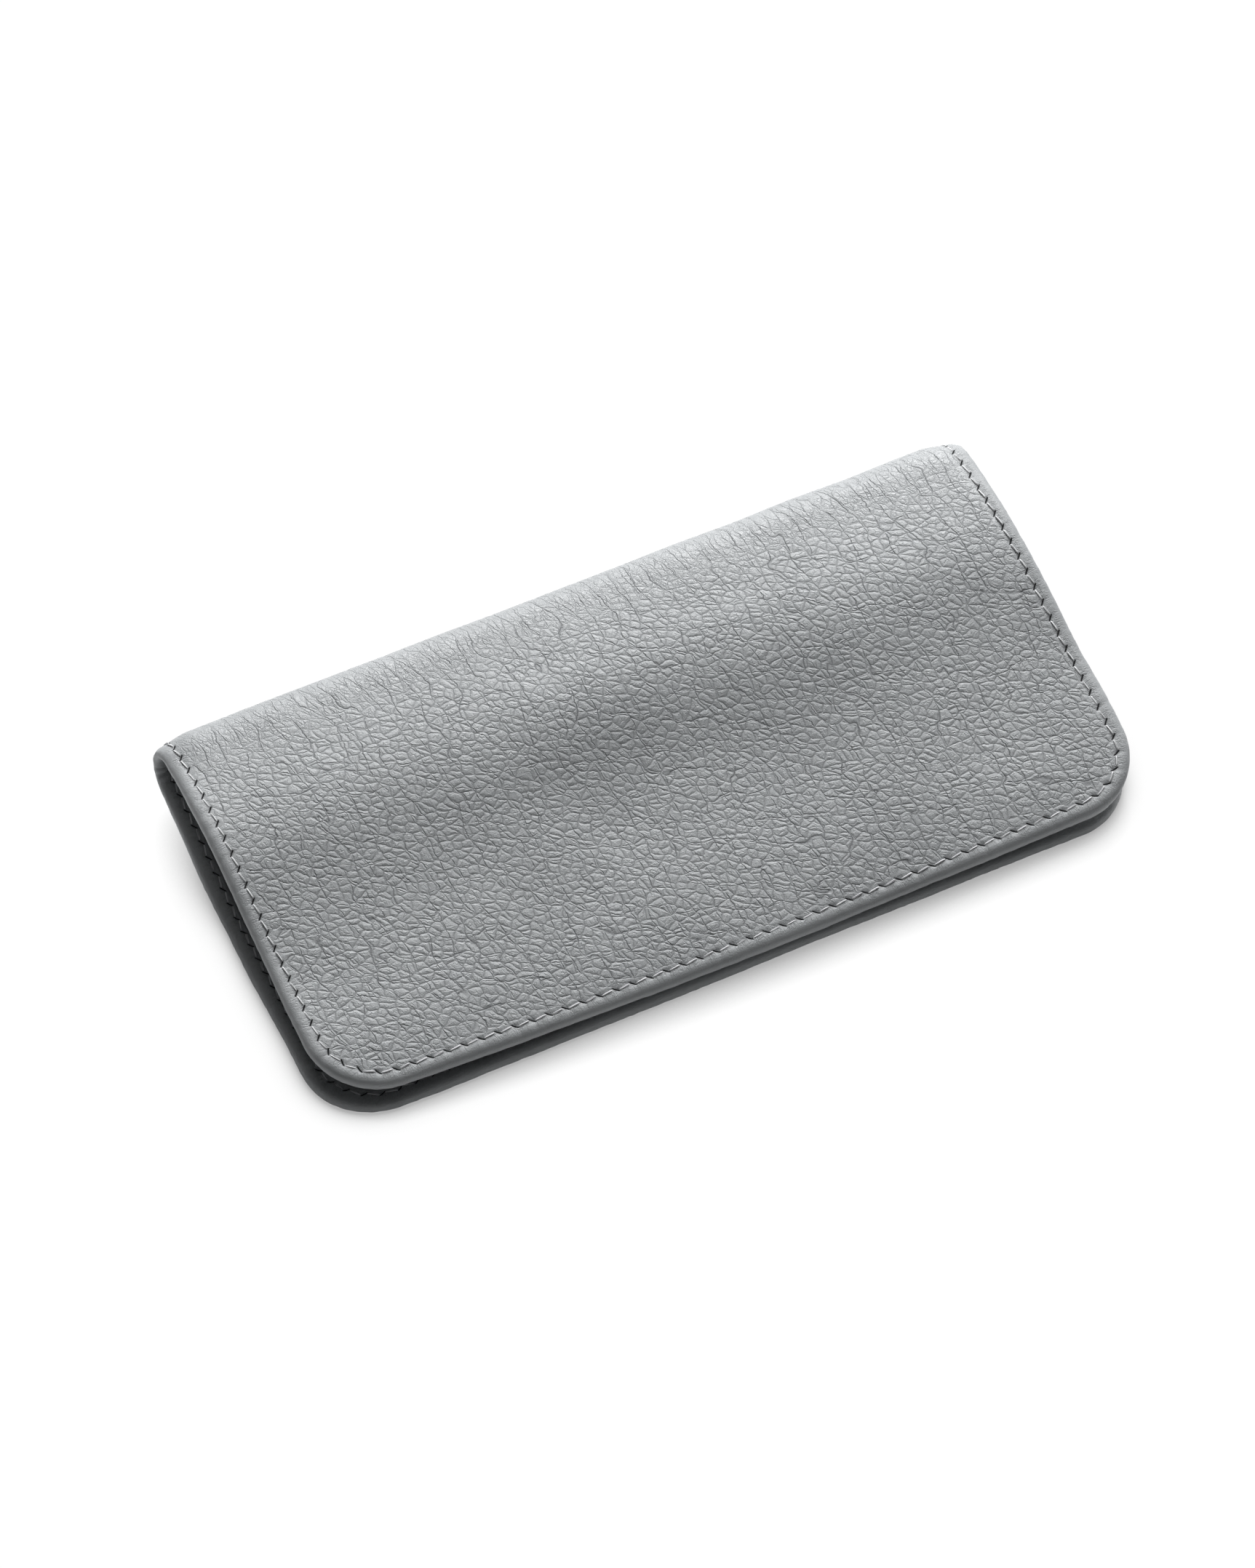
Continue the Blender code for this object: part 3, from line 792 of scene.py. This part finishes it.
def lining_material():
    made, tree, shader = new_material("smooth_lining")
    strip = attribute(tree, "strip").outputs["Vector"]
    blotch = noise(tree, strip, 0.09, 3.0, 0.6).outputs[0]
    darker, lighter = (0.30, 0.305, 0.315, 1), (0.36, 0.365, 0.375, 1)
    base = mix_colour(tree, ramp(tree, blotch, 0.3, 0.7), darker, lighter)
    speck = noise(tree, strip, 4.0, 2.0, 0.6).outputs[0]
    base = mix_colour(tree, ramp(tree, speck, 0.4, 0.7, 0.0, 0.3), base, (0.25, 0.255, 0.265, 1))
    tree.links.new(base, shader.inputs["Base Color"])
    rough = ramp(tree, noise(tree, strip, 1.3, 2.0).outputs[0], 0.3, 0.7, 0.5, 0.66)
    tree.links.new(rough, shader.inputs["Roughness"])
    shader.inputs["Specular IOR Level"].default_value = 0.4
    pores = maths(tree, "ADD", cells(tree, strip, 2.4), noise(tree, strip, 3.0, 3.0, 0.6).outputs[0])
    tree.links.new(bump(tree, pores, 0.03 * MM, 0.6), shader.inputs["Normal"])
    return made


def thread_material():
    made, tree, shader = new_material("waxed_thread")
    run = attribute(tree, "run").outputs["Fac"]
    twist = maths(tree, "SINE", run)
    # painted shade: the twist's grooves are coloured darker than the strands
    groove, strand = (0.42, 0.427, 0.438, 1), (0.80, 0.81, 0.825, 1)
    base = mix_colour(tree, ramp(tree, twist, -1.0, -0.2), groove, strand)
    tree.links.new(base, shader.inputs["Base Color"])
    fibre = noise(tree, node(tree, "ShaderNodeTexCoord").outputs["Object"], 9000.0, 2.0).outputs[0]
    tree.links.new(ramp(tree, fibre, 0.2, 0.8, 0.45, 0.7), shader.inputs["Roughness"])
    wound = bump(tree, ramp(tree, twist, -1.0, 0.0), 0.04 * MM, 0.8)
    tree.links.new(bump(tree, fibre, 0.01 * MM, 0.5, wound), shader.inputs["Normal"])
    return made


def plain_material(name, low, high, scale, roughness, metallic=0.0, stretch=(1.0, 1.0, 1.0)):
    """A material for the hidden pieces: mottled colour, uneven roughness and a fine bump."""
    made, tree, shader = new_material(name)
    where = node(tree, "ShaderNodeTexCoord").outputs["Object"]
    where = vector_maths(tree, "MULTIPLY", where, stretch)
    mottled = noise(tree, where, scale, 4.0, 0.6).outputs[0]
    base = mix_colour(tree, ramp(tree, mottled, 0.3, 0.7), (*low, 1), (*high, 1))
    tree.links.new(base, shader.inputs["Base Color"])
    spread = ramp(tree, mottled, 0.3, 0.7, roughness, min(1.0, roughness + 0.12))
    tree.links.new(spread, shader.inputs["Roughness"])
    shader.inputs["Metallic"].default_value = metallic
    tree.links.new(bump(tree, mottled, 0.04 * MM, 0.5), shader.inputs["Normal"])
    return made


def dress(thing, look):
    thing.data.materials.clear()
    thing.data.materials.append(look)


# ---------------------------------------------------------------- the case
def fold_point(along, depth=0.0):
    return Vector(place(np.array([0.0]), np.array([along]), np.array([depth]))[0] * MM)


def bend_over_fold(rear, flap):
    """Bakes each half's placement into its mesh; the heights of the panel's end and of the fold's
    middle worked out here are not used.
    """
    for piece, panel, side in ((rear, "rear_panel", 1.0), (flap, "flap", -1.0)):
        way = Vector((0.0, 0.7071, 0.7071 * side))
        panel_end = FOLD_START if side > 0 else FOLD_END
        low = max(fold_point(panel_end, depth).dot(way) for depth in (0.0, THICK))
        high = min(fold_point(FOLD_MIDDLE, depth).dot(way) for depth in (0.0, THICK))
        if side > 0:
            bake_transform(piece)
        else:
            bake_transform(piece)


def eased_board():
    """The flap's stiffener, let down with the leather where the flap dips over the glasses."""
    shape = bmesh.new()
    shape.from_mesh(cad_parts["flap_stiffener"].data)
    bmesh.ops.triangulate(shape, faces=shape.faces)
    for _ in range(4):
        long_edges = [edge for edge in shape.edges if edge.calc_length() > 2.5 * MM]
        bmesh.ops.subdivide_edges(shape, edges=long_edges, cuts=1)
        bmesh.ops.triangulate(shape, faces=shape.faces)
    slope = math.cos(math.radians(DROP_TURN))
    for vert in shape.verts:
        x, y, z = (value / MM for value in vert.co)
        along = STRIP - (y - FRONT) / slope
        x, y, z = moved_with_flap(x, y, z + dip(x, along), along)
        vert.co = (x * MM, y * MM, z * MM)
    mesh = bpy.data.meshes.new("flap_board")
    shape.to_mesh(mesh)
    shape.free()
    thing = bpy.data.objects.new("flap_board", mesh)
    bpy.context.scene.collection.objects.link(thing)
    return thing


PITCH = strip_mesh(2.0, outer_section(2.0))[0]["seam_length"] / STITCHES
STEP = 0.33
relief_tree = grain_modifier()
outer_data, outer_faces, outer_points = skin("leather", STEP, outer_section(STEP), inner=False)
leather_rear, leather_flap = cut_layer(
    "leather", outer_data, outer_faces, outer_points, relief_tree
)
LINING_STEP = 0.6
inner_data, inner_faces, inner_points = skin(
    "lining", LINING_STEP, lining_section(LINING_STEP), inner=True
)
lining_rear, lining_flap = cut_layer("inside", inner_data, inner_faces, inner_points)
stitches_rear, stitches_flap = stitch_pieces(outer_data["seam_length"])

leather, lining, thread = leather_material(), lining_material(), thread_material()
for piece, look, slot in (
    (leather_rear, leather, "pebbled_leather"),
    (leather_flap, leather, "pebbled_leather"),
    (lining_rear, lining, "smooth_lining"),
    (lining_flap, lining, "smooth_lining"),
    (stitches_rear, thread, "waxed_thread"),
    (stitches_flap, thread, "waxed_thread"),
):
    dress(piece, look)
bend_over_fold(leather_rear, leather_flap)
bend_over_fold(lining_rear, lining_flap)
bend_over_fold(stitches_rear, stitches_flap)
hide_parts("rear_outer_leather")
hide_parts("flap_outer_leather", "spine_outer_leather")
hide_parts("rear_lining")
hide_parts("flap_lining", "spine_lining")
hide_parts("rear_stitching", "spine_stitching_left")
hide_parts("flap_stitching", "spine_stitching_right")

board = plain_material("fibre_board", (0.20, 0.15, 0.10), (0.36, 0.28, 0.20), 900.0, 0.85)
tape = plain_material(
    "woven_tape", (0.42, 0.41, 0.38), (0.60, 0.59, 0.55), 1500.0, 0.9, stretch=(1.0, 4.0, 4.0)
)
steel = plain_material("nickelled_magnet", (0.50, 0.49, 0.46), (0.68, 0.67, 0.64), 500.0, 0.22, 1.0)
flap_board = eased_board()
dress(flap_board, board)
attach(flap_board, "flap")
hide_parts("flap_stiffener")
for name, look in (
    ("rear_stiffener", board),
    ("spine_tape", tape),
    ("rear_magnet_left", steel),
    ("rear_magnet_right", steel),
    ("flap_magnet_left", steel),
    ("flap_magnet_right", steel),
):
    dress(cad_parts[name], look)

# ---------------------------------------------------------------- stage, light, camera
scene = bpy.context.scene


def floor():
    """White ground: seen as a glow with a painted soft contact shadow, dimmed by ambient occlusion
    rather than cast, and throwing a little light.
    """
    bpy.ops.mesh.primitive_plane_add(size=6.0, location=(0.0, 0.0, -0.0001))
    thing = bpy.context.object
    thing.name = "floor"
    made, tree, shader = new_material("pale_floor")
    seen = node(tree, "ShaderNodeLightPath").outputs["Is Camera Ray"]
    shader.inputs["Base Color"].default_value = (0.80, 0.80, 0.80, 1.0)
    shader.inputs["Roughness"].default_value = 0.9
    shader.inputs["Emission Color"].default_value = (1.0, 1.0, 1.0, 1.0)
    shader.inputs["Emission Strength"].default_value = 0.17
    shade = node(tree, "ShaderNodeAmbientOcclusion", samples=16)
    shade.inputs["Distance"].default_value = 6.0 * MM
    glow = node(tree, "ShaderNodeEmission")
    # painted shadow: the glow camera rays see is dimmed by ambient occlusion near the case
    painted_shadow_glow = ramp(tree, shade.outputs["AO"], 0.44, 0.96, 0.42, 1.02, smooth=False)
    tree.links.new(painted_shadow_glow, glow.inputs["Strength"])
    mixed = node(tree, "ShaderNodeMixShader")
    tree.links.new(seen, mixed.inputs[0])
    tree.links.new(shader.outputs[0], mixed.inputs[1])
    tree.links.new(glow.outputs[0], mixed.inputs[2])
    tree.links.new(mixed.outputs[0], tree.nodes["Material Output"].inputs["Surface"])
    dress(thing, made)


def area_light(name, azimuth, elevation, distance, size, power, colour=(1.0, 1.0, 1.0)):
    data = bpy.data.lights.new(name, "AREA")
    data.shape = "RECTANGLE"
    data.size, data.size_y = size
    data.energy = power
    data.color = colour
    thing = bpy.data.objects.new(name, data)
    a, e = math.radians(azimuth), math.radians(elevation)
    back = Vector((math.sin(a) * math.cos(e), -math.cos(a) * math.cos(e), math.sin(e)))
    thing.location = back * distance
    thing.rotation_mode = "QUATERNION"
    thing.rotation_quaternion = (-back).to_track_quat("-Z", "Y")
    scene.collection.objects.link(thing)


floor()
area_light("key", 150.0, 32.0, 0.9, (0.6, 0.6), 12.2)
area_light("high", 165.0, 74.0, 0.9, (0.6, 0.4), 1.45)
world = bpy.data.worlds.new("studio")
world.use_nodes = True
seen = node(world.node_tree, "ShaderNodeLightPath").outputs["Is Camera Ray"]
strength = ramp(world.node_tree, seen, 0.0, 1.0, 0.03, 1.0, smooth=False)
world.node_tree.links.new(strength, world.node_tree.nodes["Background"].inputs["Strength"])
world.node_tree.nodes["Background"].inputs["Color"].default_value = (1.0, 1.0, 1.0, 1.0)
scene.world = world
scene.view_settings.view_transform = "Standard"

AZIMUTH, ELEVATION, DISTANCE, LENS = -25.55, 55.09, 1.1966, 196.3
camera_data = bpy.data.cameras.new("camera")
camera_data.lens = LENS
camera_data.sensor_width = 36.0
camera_data.shift_x, camera_data.shift_y = -0.01474, 0.01548
camera = bpy.data.objects.new("camera", camera_data)
scene.collection.objects.link(camera)
a, e = math.radians(AZIMUTH), math.radians(ELEVATION)
back = Vector((math.sin(a) * math.cos(e), -math.cos(a) * math.cos(e), math.sin(e)))
camera.location = Vector((0.0, -0.00045, 0.0)) + back * DISTANCE
camera.rotation_mode = "QUATERNION"
camera.rotation_quaternion = (-back).to_track_quat("-Z", "Y")
scene.camera = camera
